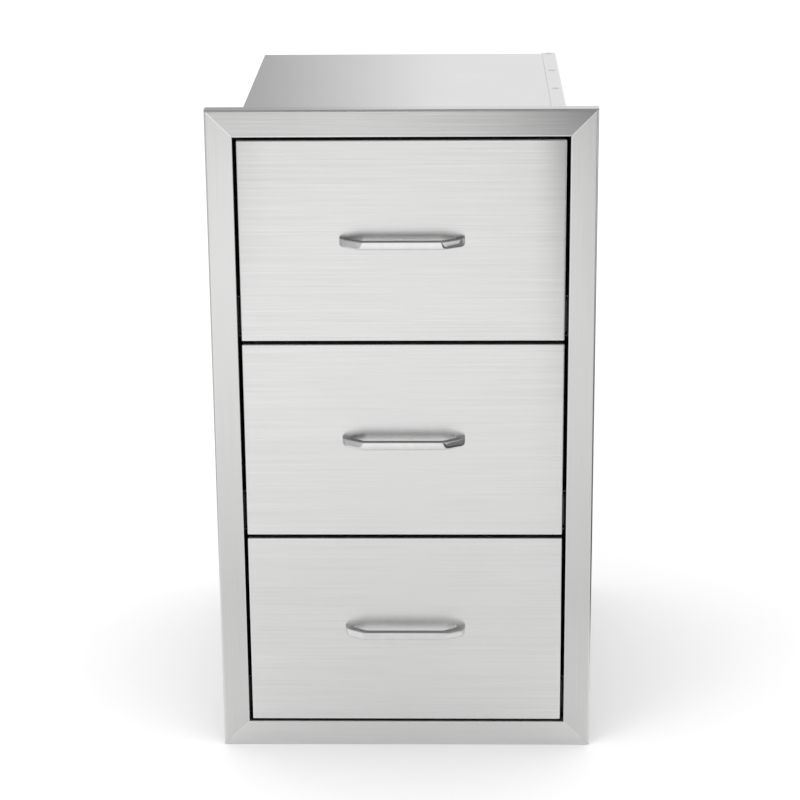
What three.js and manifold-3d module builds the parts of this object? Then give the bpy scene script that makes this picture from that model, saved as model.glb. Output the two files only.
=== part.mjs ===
// Outdoor kitchen drawer unit: a mitred face frame, a folded cabinet body and three drawers on
// telescopic slides.
// Millimetres. X runs across the front, the front faces -Y and Z points up.
// The origin lies under the middle of the whole unit, level with the bottom edge of the face frame.
import * as THREE from "three";
import Module from "manifold-3d";

const wasm = await Module();
wasm.setup();

// Face frame: four channels mitred at the corners
const frameWidth = 406.4;
const frameHeight = 718.4;
const faceWidth = 28.8;
const frameSheet = 0.8;
const rimDepth = 16;
const openingFlange = 12;
const rimBend = 2;
const openingBend = 1;
const mitreGap = 0.3;

// Cabinet body: two folded sheets lapped at opposite corners, and a back
const bodySheet = 0.7;
const bodyBend = 1.4;
const lapWidth = 16.5;
const lapGap = 0.15;
const bodySetback = 3;
const backInset = 2.5;
const backFlange = 14;

// Drawer fronts: a folded pan closed behind by a liner
const drawerLabels = ["bottom", "middle", "top"];
const frontSideGap = 3.7;
const frontTopGap = 3.1;
const frontBottomGap = 2.7;
const frontBetweenGap = 3.8;
const frontDepth = 14.6;
const frontSheet = 0.8;
const frontBend = 1;
const frontCorner = 1.2;
const frontFlange = 11;
const linerSheet = 0.7;
const linerInset = 1.5;

// Drawer tubs
const tubSheet = 0.7;
const tubHeight = 160;
const tubLift = 8;
const tubRearGap = 12;
const tubCorner = 3;
const tubBend = 1.2;
const rimRoll = 3.4;
const rimDrop = 7;

// Handles: a bow of rounded rectangular bar, held from inside by two screws each
const handleSpacing = 122;
const handleProjection = 22.5;
const handleRise = 1.2;
const barDeep = 9.5;
const barTall = 9.2;
const barEdge = 1.6;
const bowBendLength = 19.5;
const bowBendDepth = 10.5;
const screwShank = 4;
const screwHead = 8;
const screwHeadTall = 2.6;
const screwHeadRound = 1.4;
const screwBite = 9;
const screwClearance = 0.3;

// Telescopic slides: a cabinet member, an intermediate member and a drawer member, with two cages of balls
const slideHeight = 45.7;
const slideThickness = 12.7;
const slideLength = 450;
const slideStart = 16.2;
const slideRearGap = 0.95;
const memberSheet = 1.2;
const intermediateSheet = 1;
const memberBend = 1;
const ballDiameter = 4;
const ballClearance = 0.15;
const grooveDepth = 0.5;
const intermediateBend = 0.9;
const outerBallInset = 5.7;
const innerBallInset = 9.1;
const cageSheet = 0.6;
const cageGap = 0.3;
const cageLength = 96;
const cageLip = 1.6;
const hookAngle = THREE.MathUtils.degToRad(20);
const ballsPerRow = 3;
const slideHole = 4.6;
const slideHoleMargin = 35;
const slideHoleCount = 3;

// How finely round stretches are divided
const bendSteps = 2;
const grooveSteps = 4;
const cornerSteps = 2;
const bowSteps = 8;
const ballSides = 6;
const ballRings = 4;
const holeSides = 8;
const screwSides = 8;
const leastCorner = 0.3;
const overrun = 1;
const up = Math.PI / 2;

// Places worked out from the sizes above
const openingHalf = frameWidth / 2 - faceWidth;
const openingBottom = faceWidth;
const openingTop = frameHeight - faceWidth;
const bodyHalf = openingHalf + frameSheet + lapGap + bodySheet;
const wallInside = bodyHalf - bodySheet;
const panelHalf = wallInside - bodyBend;
const bodyTop = openingTop + frameSheet + lapGap + bodySheet;
const bodyBottom = openingBottom - frameSheet - lapGap - bodySheet;
const lapStep = bodySheet + lapGap;
const backInside = slideStart + slideLength + slideRearGap;
const backFace = backInside + bodySheet;
const bodyDepth = backFace + lapGap + backInset;
const faceY = handleProjection - (handleProjection + bodyDepth) / 2;

const frontHalf = openingHalf - frontSideGap;
const frontsHeight = openingTop - frontTopGap - openingBottom - frontBottomGap;
const frontHeight = (frontsHeight - (drawerLabels.length - 1) * frontBetweenGap) / drawerLabels.length;
const frontPitch = frontHeight + frontBetweenGap;
const linerFront = frontDepth + lapGap;
const tubFront = linerFront + linerSheet + lapGap;
const tubRear = backInside - tubRearGap;
const slideWall = wallInside - lapGap;
const tubHalf = slideWall - slideThickness - lapGap;
const handleHeight = frontHeight / 2 + handleRise;
const slideMiddle = slideHeight / 2;

const brushedSteel = new THREE.MeshStandardMaterial({ color: 0xcfcfcf, roughness: 0.36, metalness: 1 });
const plainSteel = new THREE.MeshStandardMaterial({ color: 0xc2c3c4, roughness: 0.42, metalness: 1 });
const polishedSteel = new THREE.MeshStandardMaterial({ color: 0xe2e2e2, roughness: 0.08, metalness: 1 });
const zincPlate = new THREE.MeshStandardMaterial({ color: 0xb4b9bd, roughness: 0.38, metalness: 0.9 });
const cageSteel = new THREE.MeshStandardMaterial({ color: 0x9c9a92, roughness: 0.45, metalness: 0.9 });

// Joins rings of points into one closed skin, with a flat cap on the first and the last ring.
// The outline gives a ring's shape in the plane, for dividing the caps into triangles.
function loft(rings, outline) {
  const count = outline.length;
  const indices = [];
  for (let ring = 0; ring < rings.length - 1; ring++) {
    for (let i = 0; i < count; i++) {
      const a = ring * count + i;
      const b = ring * count + ((i + 1) % count);
      indices.push(a, b, b + count, a, b + count, a + count);
    }
  }
  const last = (rings.length - 1) * count;
  const clockwise = THREE.ShapeUtils.isClockWise(outline);
  for (const [a, b, c] of THREE.ShapeUtils.triangulateShape(outline, [])) {
    const [second, third] = clockwise ? [c, b] : [b, c];
    indices.push(a, third, second, last + a, last + second, last + third);
  }
  const geometry = new THREE.BufferGeometry().setFromPoints(rings.flat());
  geometry.setIndex(indices);
  return facingOut(geometry);
}

// Turns every triangle round when a skin was drawn inside out.
function facingOut(geometry) {
  const index = geometry.getIndex();
  const [a, b, c] = [new THREE.Vector3(), new THREE.Vector3(), new THREE.Vector3()];
  let volume = 0;
  for (let i = 0; i < index.count; i += 3) {
    a.fromBufferAttribute(geometry.attributes.position, index.getX(i));
    b.fromBufferAttribute(geometry.attributes.position, index.getX(i + 1));
    c.fromBufferAttribute(geometry.attributes.position, index.getX(i + 2));
    volume += a.dot(b.cross(c));
  }
  if (volume < 0) {
    for (let i = 0; i < index.count; i += 3) {
      const second = index.getX(i + 1);
      index.setX(i + 1, index.getX(i + 2));
      index.setX(i + 2, second);
    }
  }
  return geometry;
}

// An arc as points, its ends included.
function arc(x, y, radius, from, to, steps) {
  return new THREE.EllipseCurve(x, y, radius, radius, from, to, to < from).getPoints(steps);
}

// A bent line through the corners, each corner rounded to the radius.
function bentLine(corners, radius) {
  const points = [corners[0]];
  for (let i = 1; i < corners.length - 1; i++) {
    const before = corners[i - 1].clone().sub(corners[i]).normalize();
    const after = corners[i + 1].clone().sub(corners[i]).normalize();
    const half = before.angleTo(after) / 2;
    const middle = before.clone().add(after).normalize();
    const centre = corners[i].clone().addScaledVector(middle, radius / Math.sin(half));
    const start = corners[i].clone().addScaledVector(before, radius / Math.tan(half));
    const sweep = Math.sign(after.cross(before)) * (Math.PI - 2 * half);
    for (let step = 0; step <= bendSteps; step++) {
      points.push(start.clone().rotateAround(centre, (sweep * step) / bendSteps));
    }
  }
  points.push(corners[corners.length - 1]);
  return points;
}

// The outline of a sheet whose middle follows the points: down one side and back up the other.
function sheetOutline(points, sheet) {
  const sides = points.map((point, i) => {
    const before = point.clone().sub(points[Math.max(i - 1, 0)]).normalize();
    const after = points[Math.min(i + 1, points.length - 1)].clone().sub(point).normalize();
    const along = before.clone().add(after).normalize();
    const facing = i === 0 ? after : i === points.length - 1 ? before : along;
    const stretch = i === 0 || i === points.length - 1 ? 1 : along.dot(after);
    return new THREE.Vector2(-facing.y, facing.x).multiplyScalar(sheet / 2 / stretch);
  });
  const left = points.map((point, i) => point.clone().add(sides[i]));
  const right = points.map((point, i) => point.clone().sub(sides[i]));
  return [...left, ...right.reverse()];
}

// A section in X and Z carried straight back from one Y to another.
function extrudeBack(outline, front, rear) {
  const ringAt = (y) => outline.map((p) => new THREE.Vector3(p.x, y, p.y));
  return loft([ringAt(front), ringAt(rear)], outline);
}

// A rectangle with rounded corners, as points.
function roundedRectangle(halfX, halfY, corner) {
  const radius = Math.max(corner, leastCorner);
  const centres = [
    [halfX - radius, halfY - radius],
    [radius - halfX, halfY - radius],
    [radius - halfX, radius - halfY],
    [halfX - radius, radius - halfY],
  ];
  return centres.flatMap(([x, y], quarter) => {
    const from = (quarter * Math.PI) / 2;
    return arc(x, y, radius, from, from + Math.PI / 2, cornerSteps);
  });
}

// A tray of sheet: the wall's section is swept round a rounded rectangle and its floor closes the middle.
// In the section, X is the way out from the rectangle and Y the height.
function tray(halfX, halfY, corner, section) {
  const rings = section.map((p) =>
    roundedRectangle(halfX + p.x, halfY + p.x, corner + p.x).map((q) => new THREE.Vector3(q.x, q.y, p.y)),
  );
  return loft(rings, roundedRectangle(halfX, halfY, corner));
}

function toSolid(geometry) {
  geometry.deleteAttribute("normal");
  geometry.deleteAttribute("uv");
  const vertProperties = Float32Array.from(geometry.attributes.position.array);
  const triVerts = Uint32Array.from(geometry.getIndex().array);
  const mesh = new wasm.Mesh({ numProp: 3, vertProperties, triVerts });
  mesh.merge();
  return new wasm.Manifold(mesh);
}

function toGeometry(solid) {
  const { vertProperties, triVerts } = solid.getMesh();
  const geometry = new THREE.BufferGeometry();
  geometry.setAttribute("position", new THREE.BufferAttribute(vertProperties, 3));
  geometry.setIndex(new THREE.BufferAttribute(triVerts, 1));
  return geometry;
}

// A round bar from one point to another, as a solid.
function roundBar(diameter, from, to, sides) {
  const length = from.distanceTo(to);
  const geometry = new THREE.CylinderGeometry(diameter / 2, diameter / 2, length, sides);
  const up = new THREE.Vector3(0, 1, 0);
  const turn = new THREE.Quaternion().setFromUnitVectors(up, to.clone().sub(from).normalize());
  geometry.applyQuaternion(turn);
  geometry.translate(...from.clone().lerp(to, 0.5).toArray());
  return toSolid(geometry);
}

function cutFrom(geometry, cutters) {
  return toGeometry(cutters.reduce((solid, cutter) => solid.subtract(cutter), toSolid(geometry)));
}

function piece(name, geometry, material) {
  geometry.computeVertexNormals();
  const mesh = new THREE.Mesh(geometry, material);
  mesh.name = name;
  return mesh;
}

// Face frame. A member runs along X with its outer edge at Z zero and its opening edge below.
function frameMember(name, length) {
  const face = frameSheet / 2;
  const corners = [
    new THREE.Vector2(face, rimDepth),
    new THREE.Vector2(face, face),
    new THREE.Vector2(faceWidth - face, face),
    new THREE.Vector2(faceWidth - face, openingFlange),
  ];
  const rim = bentLine(corners.slice(0, 3), rimBend - face);
  const flange = bentLine(corners.slice(1), openingBend - face);
  const outline = sheetOutline([...rim.slice(0, -1), ...flange.slice(1)], frameSheet);
  const half = length / 2 - mitreGap * Math.SQRT1_2;
  const ringAt = (side) => outline.map((p) => new THREE.Vector3(side * (half - p.x), p.y, -p.x));
  return piece(name, loft([ringAt(-1), ringAt(1)], outline), brushedSteel);
}

function faceFrame() {
  const frame = new THREE.Group();
  const top = frameMember("frame_top_rail", frameWidth);
  top.position.set(0, 0, frameHeight);
  const bottom = frameMember("frame_bottom_rail", frameWidth);
  bottom.rotation.y = Math.PI;
  const left = frameMember("frame_left_stile", frameHeight);
  left.position.set(-frameWidth / 2, 0, frameHeight / 2);
  left.rotation.y = -Math.PI / 2;
  const right = frameMember("frame_right_stile", frameHeight);
  right.position.set(frameWidth / 2, 0, frameHeight / 2);
  right.rotation.y = Math.PI / 2;
  frame.add(top, bottom, left, right);
  return frame;
}

// One folded sheet of the body: a lap flange, a side wall and a top or bottom panel.
// The other sheet is the same one turned half round, and each lap lies outside the other sheet's panel.
function bodyShell(name, depth) {
  const sheet = bodySheet / 2;
  const middle = (bodyTop + bodyBottom) / 2;
  const panelZ = bodyTop - middle - sheet;
  const lapZ = panelZ + lapStep;
  const corners = [
    new THREE.Vector2(lapWidth - bodyHalf, -lapZ),
    new THREE.Vector2(sheet - bodyHalf, -lapZ),
    new THREE.Vector2(sheet - bodyHalf, panelZ),
    new THREE.Vector2(panelHalf, panelZ),
  ];
  const outline = sheetOutline(bentLine(corners, bodyBend - sheet), bodySheet);
  const shell = piece(name, extrudeBack(outline, bodySetback, depth), brushedSteel);
  shell.position.z = middle;
  return shell;
}

function backPanel() {
  const sheet = bodySheet / 2;
  const top = bodyTop - bodySheet - lapGap - sheet;
  const bottom = bodyBottom + bodySheet + lapGap + sheet;
  const corners = [
    new THREE.Vector2(backFace - backFlange, bottom),
    new THREE.Vector2(backFace - sheet, bottom),
    new THREE.Vector2(backFace - sheet, top),
    new THREE.Vector2(backFace - backFlange, top),
  ];
  const outline = sheetOutline(bentLine(corners, bodyBend - sheet), bodySheet);
  const ringAt = (x) => outline.map((p) => new THREE.Vector3(x, p.x, p.y));
  return piece("back_panel", loft([ringAt(-panelHalf), ringAt(panelHalf)], outline), plainSteel);
}

function cabinetBody() {
  const body = new THREE.Group();
  const left = bodyShell("left_side_and_top_sheet", bodyDepth - backInset);
  const right = bodyShell("right_side_and_bottom_sheet", bodyDepth);
  right.rotation.y = Math.PI;
  body.add(left, right, backPanel());
  return body;
}

// Slides. Sections are drawn with X counted from the cabinet wall towards the drawer and Y from mid height.
// Balls run in grooves: the outer rows between the cabinet and intermediate members, the inner rows
// between the intermediate and drawer members.
const ballRadius = ballDiameter / 2;
const memberGroove = ballRadius + ballClearance + memberSheet / 2;
const intermediateGroove = ballRadius + ballClearance + intermediateSheet / 2;
const outerBallHeight = slideHeight / 2 - memberSheet / 2 - memberGroove;
const cabinetFlange = outerBallHeight + memberGroove - grooveDepth;
const intermediateFlange = outerBallHeight - intermediateGroove + grooveDepth;
const innerBallHeight = intermediateFlange + grooveDepth - intermediateGroove;
const drawerFlange = innerBallHeight - memberGroove + grooveDepth;
const outerCageWall = memberSheet + cageGap + cageSheet / 2;
const intermediateWall = outerCageWall + cageSheet / 2 + cageGap + intermediateSheet / 2;
const innerCageWall = intermediateWall + intermediateSheet / 2 + cageGap + cageSheet / 2;

// Half a section, from the wall at mid height to the edge of the upper flange.
function cabinetMemberHalf() {
  const spread = grooveSpread(memberGroove);
  const start = outerBallInset - memberGroove * Math.sin(spread);
  const flat = wallAndFlange(memberSheet / 2, cabinetFlange, start, memberBend);
  const over = arc(outerBallInset, outerBallHeight, memberGroove, up + spread, hookAngle, grooveSteps);
  return [...flat, ...over];
}

function intermediateMemberHalf() {
  const groove = intermediateGroove;
  const spread = grooveSpread(groove);
  const start = outerBallInset - groove * Math.sin(spread);
  const flat = wallAndFlange(intermediateWall, intermediateFlange, start, intermediateBend);
  const under = arc(outerBallInset, outerBallHeight, groove, -up - spread, spread - up, grooveSteps);
  const over = arc(innerBallInset, innerBallHeight, groove, up + spread, hookAngle, grooveSteps);
  return [...flat, ...under, ...over];
}

function drawerMemberHalf() {
  const spread = grooveSpread(memberGroove);
  const start = innerBallInset + memberGroove * Math.sin(spread);
  const flat = wallAndFlange(slideThickness - memberSheet / 2, drawerFlange, start, memberBend);
  const [from, to] = [spread - up, hookAngle - Math.PI];
  const under = arc(innerBallInset, innerBallHeight, memberGroove, from, to, grooveSteps);
  return [...flat, ...under];
}

// Half the angle that a groove spans where it leaves the flat of its flange.
function grooveSpread(groove) {
  return Math.acos((groove - grooveDepth) / groove);
}

function wallAndFlange(wall, height, end, bend) {
  const corners = [[wall, 0], [wall, height], [end, height]].map(([x, y]) => new THREE.Vector2(x, y));
  return bentLine(corners, bend).slice(0, -1);
}

function cageHalf(wall, height, end) {
  return [...wallAndFlange(wall, height, end, cageSheet), new THREE.Vector2(end, height)];
}

// Mirrors a half section below mid height and places it on its side of the cabinet.
function slideSection(half, sheet, side) {
  const upper = half.slice(1);
  const lower = upper.map((p) => new THREE.Vector2(p.x, -p.y)).reverse();
  const placed = (p) => new THREE.Vector2(side * (slideWall - p.x), slideMiddle + p.y);
  return sheetOutline([...lower, ...upper].map(placed), sheet);
}

// Screw holes through a member's wall, spread evenly along it.
function wallHoles(side) {
  const run = slideLength - 2 * slideHoleMargin;
  return Array.from({ length: slideHoleCount }, (_, i) => {
    const y = slideStart + slideHoleMargin + (run * i) / (slideHoleCount - 1);
    const from = new THREE.Vector3(side * (slideWall + overrun), y, slideMiddle);
    const to = new THREE.Vector3(side * (slideWall - slideThickness - overrun), y, slideMiddle);
    return roundBar(slideHole, from, to, holeSides);
  });
}

function slideMember(name, half, sheet, side, drilled) {
  const bar = extrudeBack(slideSection(half, sheet, side), slideStart, slideStart + slideLength);
  return piece(name, drilled ? cutFrom(bar, wallHoles(side)) : bar, zincPlate);
}

// A cage is a thin channel that holds a row of balls along each of its two flanges.
function ballCage(name, wall, ballInset, ballHeight, side) {
  const front = slideStart + (slideLength - cageLength) / 2;
  const half = cageHalf(wall, ballHeight, ballInset + cageLip);
  const channel = extrudeBack(slideSection(half, cageSheet, side), front, front + cageLength);
  const halfPitch = cageLength / ballsPerRow / 2;
  let cage = toSolid(channel);
  for (let i = 0; i < ballsPerRow; i++) {
    for (const row of [-1, 1]) {
      const ball = new THREE.SphereGeometry(ballRadius, ballSides, ballRings);
      ball.rotateX(Math.PI / 2);
      const x = side * (slideWall - ballInset);
      ball.translate(x, front + halfPitch * (2 * i + 1), slideMiddle + row * ballHeight);
      cage = cage.add(toSolid(ball));
    }
  }
  return piece(name, toGeometry(cage), cageSteel);
}

function slide(name, side) {
  const members = new THREE.Group();
  members.add(
    slideMember(`${name}_cabinet_member`, cabinetMemberHalf(), memberSheet, side, true),
    slideMember(`${name}_intermediate_member`, intermediateMemberHalf(), intermediateSheet, side, false),
    slideMember(`${name}_drawer_member`, drawerMemberHalf(), memberSheet, side, true),
    ballCage(`${name}_outer_ball_cage`, outerCageWall, outerBallInset, outerBallHeight, side),
    ballCage(`${name}_inner_ball_cage`, innerCageWall, innerBallInset, innerBallHeight, side),
  );
  return members;
}

// Handle and its screws
const barReach = handleProjection - barDeep / 2;
const screwHole = screwShank + 2 * screwClearance;
const screwSeat = tubFront + tubSheet + lapGap;

// The middle line of one side of the bow, from the foot round the bend, with the way out across the bar.
function bowSide() {
  const foot = { place: new THREE.Vector2(handleSpacing / 2, -lapGap), out: new THREE.Vector2(1, 0) };
  const bend = Array.from({ length: bowSteps + 1 }, (_, i) => {
    const angle = (i / bowSteps) * (Math.PI / 2);
    const x = handleSpacing / 2 - bowBendLength * (1 - Math.cos(angle));
    const y = bowBendDepth * (1 - Math.sin(angle)) - barReach;
    const out = new THREE.Vector2(bowBendDepth * Math.cos(angle), -bowBendLength * Math.sin(angle));
    return { place: new THREE.Vector2(x, y), out: out.normalize() };
  });
  return [foot, ...bend];
}

function handle(name) {
  const section = roundedRectangle(barDeep / 2, barTall / 2, barEdge);
  const right = bowSide();
  const left = bowSide().reverse();
  left.forEach(({ place, out }) => {
    place.x = -place.x;
    out.x = -out.x;
  });
  const rings = [...right, ...left].map(({ place, out }) =>
    section.map((p) => new THREE.Vector3(place.x + out.x * p.x, place.y + out.y * p.x, handleHeight + p.y)),
  );
  const bores = [-1, 1].map((side) => screwBar(side, screwHole, -screwBite - screwClearance, overrun));
  return piece(name, cutFrom(loft(rings, section), bores), polishedSteel);
}

// A round bar on the line of one of the handle's screws.
function screwBar(side, diameter, front, rear) {
  const x = (side * handleSpacing) / 2;
  const from = new THREE.Vector3(x, front, handleHeight);
  const to = new THREE.Vector3(x, rear, handleHeight);
  return roundBar(diameter, from, to, screwSides);
}

// A pan head screw. Its head bears on the inside of the tub and its shank ends in the handle's foot.
function handleScrew(name, side) {
  const shoulder = screwSeat + screwHeadTall - screwHeadRound;
  const profile = [
    new THREE.Vector2(0, -screwBite),
    new THREE.Vector2(screwShank / 2, -screwBite),
    new THREE.Vector2(screwShank / 2, screwSeat),
    new THREE.Vector2(screwHead / 2, screwSeat),
    ...arc(screwHead / 2 - screwHeadRound, shoulder, screwHeadRound, 0, up, cornerSteps),
    new THREE.Vector2(0, screwSeat + screwHeadTall),
  ];
  const screw = toGeometry(toSolid(new THREE.LatheGeometry(profile, screwSides)));
  screw.translate((side * handleSpacing) / 2, 0, handleHeight);
  return piece(name, screw, zincPlate);
}

// Drawer pieces, drawn from the middle of the front's bottom edge, on its face.
function screwCutters() {
  return [-1, 1].map((side) => screwBar(side, screwHole, -overrun, screwSeat + overrun));
}

function drawerFront(name) {
  const face = frontSheet / 2;
  const corners = [
    new THREE.Vector2(-frontFlange, face),
    new THREE.Vector2(-face, face),
    new THREE.Vector2(-face, frontDepth - face),
    new THREE.Vector2(-frontFlange, frontDepth - face),
  ];
  const section = sheetOutline(bentLine(corners, frontBend - face), frontSheet);
  const pan = tray(frontHalf, frontHeight / 2, frontCorner, section);
  pan.rotateX(-Math.PI / 2);
  pan.translate(0, 0, frontHeight / 2);
  return piece(name, cutFrom(pan, screwCutters()), brushedSteel);
}

function frontLiner(name) {
  const outline = roundedRectangle(frontHalf - linerInset, frontHeight / 2 - linerInset, frontCorner);
  const plate = extrudeBack(outline, linerFront, linerFront + linerSheet);
  plate.translate(0, 0, frontHeight / 2);
  return piece(name, cutFrom(plate, screwCutters()), plainSteel);
}

// The tub's rim is rolled inwards, so that no sheet edge meets a hand.
function drawerTub(name) {
  const sheet = tubSheet / 2;
  const corners = [
    new THREE.Vector2(-rimRoll, sheet),
    new THREE.Vector2(-sheet, sheet),
    new THREE.Vector2(-sheet, tubHeight - sheet),
    new THREE.Vector2(sheet - rimRoll, tubHeight - sheet),
    new THREE.Vector2(sheet - rimRoll, tubHeight - rimDrop),
  ];
  const section = sheetOutline(bentLine(corners, tubBend), tubSheet);
  const tub = tray(tubHalf, (tubRear - tubFront) / 2, tubCorner, section);
  tub.translate(0, (tubRear + tubFront) / 2, tubLift);
  return piece(name, cutFrom(tub, screwCutters()), plainSteel);
}

function drawer(label) {
  const pieces = new THREE.Group();
  pieces.add(
    drawerFront(`${label}_drawer_front`),
    frontLiner(`${label}_drawer_front_liner`),
    drawerTub(`${label}_drawer_tub`),
    handle(`${label}_handle`),
    handleScrew(`${label}_handle_screw_left`, -1),
    handleScrew(`${label}_handle_screw_right`, 1),
    slide(`${label}_left_slide`, -1),
    slide(`${label}_right_slide`, 1),
  );
  return pieces;
}

// The whole unit. Its face stands at faceY, and the drawers are stacked from the bottom up.
const unit = new THREE.Group();
unit.position.y = faceY;
unit.add(faceFrame(), cabinetBody());
drawerLabels.forEach((label, i) => {
  const stacked = drawer(label);
  stacked.position.z = openingBottom + frontBottomGap + i * frontPitch;
  unit.add(stacked);
});

export default unit;
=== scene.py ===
# Outdoor kitchen drawer unit: fine pieces, finishes, floor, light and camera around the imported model.
# Metres. X runs across the front, the front faces -Y and Z points up.
import math

import bmesh
import bpy
from bpy.props import FloatProperty, FloatVectorProperty, IntProperty, PointerProperty
from mathutils import Matrix, Vector


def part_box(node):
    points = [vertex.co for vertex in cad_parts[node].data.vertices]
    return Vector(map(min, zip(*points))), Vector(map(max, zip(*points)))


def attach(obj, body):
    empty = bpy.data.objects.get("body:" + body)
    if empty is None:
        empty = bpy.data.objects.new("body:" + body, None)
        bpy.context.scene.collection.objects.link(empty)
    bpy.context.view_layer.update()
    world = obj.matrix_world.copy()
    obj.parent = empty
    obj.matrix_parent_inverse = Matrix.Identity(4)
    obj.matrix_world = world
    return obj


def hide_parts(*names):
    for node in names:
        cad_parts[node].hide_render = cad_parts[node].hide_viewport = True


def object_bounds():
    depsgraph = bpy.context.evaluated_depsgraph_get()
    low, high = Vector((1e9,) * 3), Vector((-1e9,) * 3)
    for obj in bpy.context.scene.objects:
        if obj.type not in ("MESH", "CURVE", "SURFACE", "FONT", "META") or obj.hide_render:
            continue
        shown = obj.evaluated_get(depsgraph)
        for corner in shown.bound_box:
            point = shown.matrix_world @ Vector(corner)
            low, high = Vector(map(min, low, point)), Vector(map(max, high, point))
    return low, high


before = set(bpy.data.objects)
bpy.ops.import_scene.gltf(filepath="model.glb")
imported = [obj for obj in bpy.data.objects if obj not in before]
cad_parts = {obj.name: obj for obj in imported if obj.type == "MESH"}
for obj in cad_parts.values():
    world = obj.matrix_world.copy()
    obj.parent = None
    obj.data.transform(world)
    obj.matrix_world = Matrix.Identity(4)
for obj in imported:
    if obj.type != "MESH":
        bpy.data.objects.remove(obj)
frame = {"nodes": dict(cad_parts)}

bl_info = {
    "name": "Outdoor Kitchen Drawer Unit",
    "version": (1, 0, 0),
    "blender": (4, 5, 0),
    "location": "3D View > Sidebar > Drawer Unit",
    "description": "Fine pieces, finishes and studio for a stainless drawer unit",
    "category": "Object",
}

CAD_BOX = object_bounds()
TOP_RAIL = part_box("frame_top_rail")
FACE_Y = TOP_RAIL[0].y
LABELS = ("bottom", "middle", "top")
SIDES = {"left": -1, "right": 1}
QUARTER = math.pi / 2
CORNERS = ((1, 1), (-1, 1), (-1, -1), (1, -1))
LEAST_CORNER = 0.0002
GRAIN_MAP, WEAR = "grain", "wear"

# Turned spots, in shares of their radius and rise.
WELD_SHAPE = ((1, 0), (0.9, -0.7), (0.78, -1), (0.66, -0.7), (0.45, -0.3), (0, -0.2))
RIVET_SHAPE = ((1, -0.3), (0.85, -0.8), (0.6, -1), (0, -1))

# In metres: X where the top rail starts to lean back, distance from the middle where a front's skin
# starts to fall away, and the range behind a slide's start over which the painted shade on the slides' front
# ends fades out.
TWIST_FROM, ROLL_FROM, GAP_SHADE = -0.05, 0.135, (0.006, 0.03)

# Broad brushing lines as shares of the fine ones, and how much finer the clouds are than the waves.
BROAD_LINES, BROAD_RUN, CLOUD_FINER = 0.3, 0.45, 2.2

# The part of a noise's range that is used, and tones as shares of the metal's own.
CLOUDS, SMEARS = (0.3, 0.7), (0.35, 0.65)
# The last tone is painted shade: it darkens the slides' front ends, which sit in the narrow side gap.
CLOUD_SHARE, CLOUD_TONE, SEAM_DARK_TONE, GAP_SHADE_TONE = 0.1, 0.9, 0.15, 0.12

# How much smoother worn steel is, and the depth in metres of the waves in plain sheet.
WORN_SMOOTHER, PLAIN_WAVES = 0.08, 0.00003

# The mirrored studio: the range of a direction's Z, X or Y over which one part gives way to the next,
# and the brightness in front of the unit by height.
HIGH_UP, ACROSS, BEHIND_UNIT, BEHIND_CAMERA = (0.36, 0.6), (-0.5, 0.5), (0.15, 0.55), (-0.1, -0.3)
IN_FRONT = ((0.0, 0.1), (0.14, 0.04), (0.24, 0.04), (0.38, 0.55), (0.75, 0.55), (0.9, 0.08), (1.0, 0.08))

# The floor's painted reflection, seen only in metal: its brightness by X, and where that sets in and ends.
FLOOR_ACROSS = ((-2.0, 0.6), (-0.8, 0.6), (-0.6, 1.0), (0.38, 1.0),
                (0.6, 0.1), (0.76, 0.08), (0.92, 0.24), (2.0, 0.26))
BESIDE_UNIT, FAR_AHEAD, FAR_RIGHT, FAR_RIGHT_TONE = (1.0, 0.2), (-0.9, -1.4), (0.95, 1.25), 0.75

LAMP_PLACE = (-1.2, -1.7, 1.6)
VIEW_PLACE = (0.06026, -2.68773, 1.21873)


# Settings


def kept_as(kind, **ways):
    """A maker of settings of one kind, each with its name, its description and its default."""
    def setting(name, description, default):
        return kind(name=name, description=description, default=default, **ways)
    return setting


length = kept_as(FloatProperty, min=0.0, precision=5, unit="LENGTH", subtype="DISTANCE")
angle = kept_as(FloatProperty, unit="ROTATION", subtype="ANGLE")
share = kept_as(FloatProperty, min=0.0, max=1.0, subtype="FACTOR")
strength = kept_as(FloatProperty, min=0.0)
count = kept_as(IntProperty, min=1)
colour = kept_as(FloatVectorProperty, size=3, min=0.0, max=1.0, subtype="COLOR")
pair = kept_as(FloatVectorProperty, size=2)
span = kept_as(FloatVectorProperty, size=2, subtype="XYZ", unit="LENGTH")


class FrameSizes(bpy.types.PropertyGroup):
    """Sizes of the mitred face frame."""

    width: length("Width", "Outside width of the frame", CAD_BOX[1][0] - CAD_BOX[0][0])
    height: length("Height", "Outside height of the frame", CAD_BOX[1][2] - CAD_BOX[0][2])
    face_width: length("Face width", "Width of each member's face", 0.0288)
    sheet: length("Sheet", "Thickness of the frame's sheet", 0.0008)
    rim_depth: length("Rim depth", "Depth of the outer rim turned back", 0.016)
    opening_flange: length("Opening flange", "Depth of the flange round the opening", 0.012)
    rim_bend: length("Rim bend", "Outside radius of the rim's bend", 0.002)
    opening_bend: length("Opening bend", "Outside radius of the bend at the opening", 0.001)
    mitre_gap: length("Mitre gap", "Width of the seam between two members", 0.0003)
    seam_polish: length("Seam polish", "Width of the dressed strip beside each mitre", 0.0012)


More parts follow.
